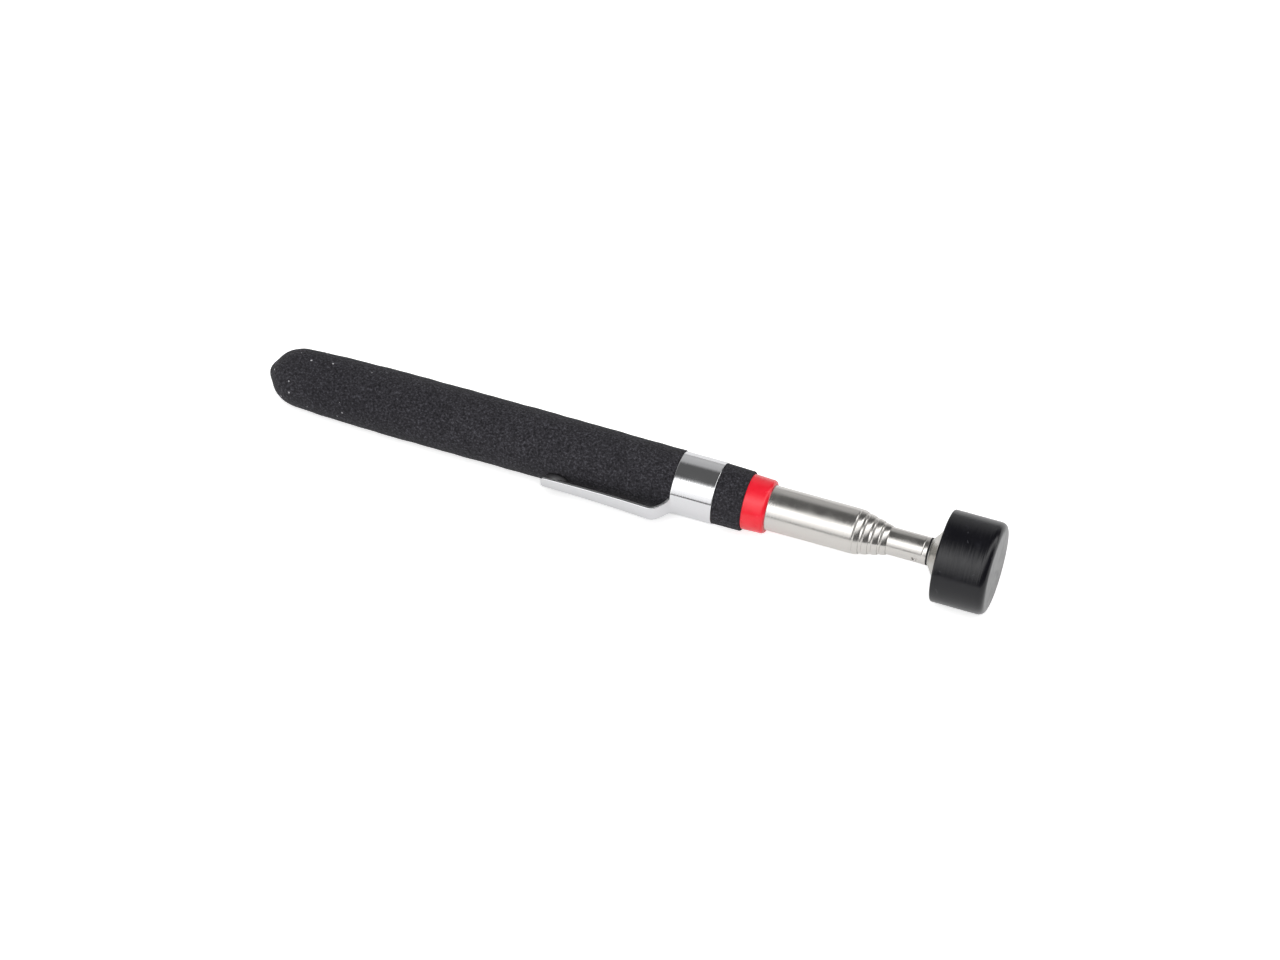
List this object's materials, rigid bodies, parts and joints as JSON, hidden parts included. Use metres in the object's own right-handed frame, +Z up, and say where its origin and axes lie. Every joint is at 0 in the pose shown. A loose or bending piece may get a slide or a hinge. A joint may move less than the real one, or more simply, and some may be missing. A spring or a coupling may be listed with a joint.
{
  "type": "telescopic magnetic pick-up tool",
  "caption": "Pocket pick-up tool: telescopic steel tubes slide out of a black foam grip with a spring clip and carry a capped pot magnet that turns on the axis.",
  "frame": {"origin": "centre of the flat front face of the capped magnet head", "axes": "+X runs along the tool, out of the magnet face; +Z is up with the tool lying down; the pocket clip points 85 degrees from straight down towards -Y"},
  "size_m": [0.1634, 0.02, 0.02],
  "materials": {
    "nbr_foam": "closed-cell foam, matt",
    "clip_chrome": "bright chrome plate on spring steel",
    "red_plastic": "moulded gloss",
    "tube_steel": "drawn and polished stainless steel",
    "plug_plastic": "moulded",
    "shim_brass": "rolled strip",
    "washer_rubber": "cut sheet",
    "stem_nickel": "turned, satin nickel plate",
    "cup_steel": "blackened",
    "magnet_block": "sintered and plated",
    "cap_plastic": "moulded, lightly scuffed"
  },
  "bodies": {
    "handle": {"grip": "nbr_foam", "clip_band": "clip_chrome", "end_ferrule": "red_plastic", "outer_tube": "tube_steel", "tail_plug": "plug_plastic"},
    "clip": {"clip_tongue": "clip_chrome"},
    "section_2": {"tube_2": "tube_steel", "shim_2_upper": "shim_brass", "shim_2_lower": "shim_brass"},
    "section_3": {"tube_3": "tube_steel", "shim_3_upper": "shim_brass", "shim_3_lower": "shim_brass"},
    "section_4": {"tube_4": "tube_steel", "shim_4_upper": "shim_brass", "shim_4_lower": "shim_brass"},
    "section_5": {"shim_5_upper": "shim_brass", "shim_5_lower": "shim_brass"},
    "tip": {"tube_5": "tube_steel", "neck_washer": "washer_rubber", "head_stem": "stem_nickel", "pole_cup": "cup_steel", "magnet": "magnet_block", "head_cap": "cap_plastic"}
  },
  "joints": [
    {"name": "clip_flex", "type": "hinge", "parent": "handle", "child": "clip", "pos_m": [-0.07, -0.00677, -0.00059], "axis": [0, -0.0872, 0.9962], "range_deg": [0, 5], "stiffness_Nm_per_rad": 1.2},
    {"name": "slide_2", "type": "slide", "parent": "handle", "child": "section_2", "axis": [1, 0, 0], "range_m": [0, 0.1123]},
    {"name": "slide_3", "type": "slide", "parent": "section_2", "child": "section_3", "axis": [1, 0, 0], "range_m": [0, 0.1127]},
    {"name": "slide_4", "type": "slide", "parent": "section_3", "child": "section_4", "axis": [1, 0, 0], "range_m": [0, 0.1132]},
    {"name": "slide_5", "type": "slide", "parent": "section_4", "child": "section_5", "axis": [1, 0, 0], "range_m": [0, 0.1135]},
    {"name": "tip_turn", "type": "hinge", "parent": "section_5", "child": "tip", "pos_m": [-0.1424, 0, 0], "axis": [1, 0, 0], "continuous": true}
  ]
}
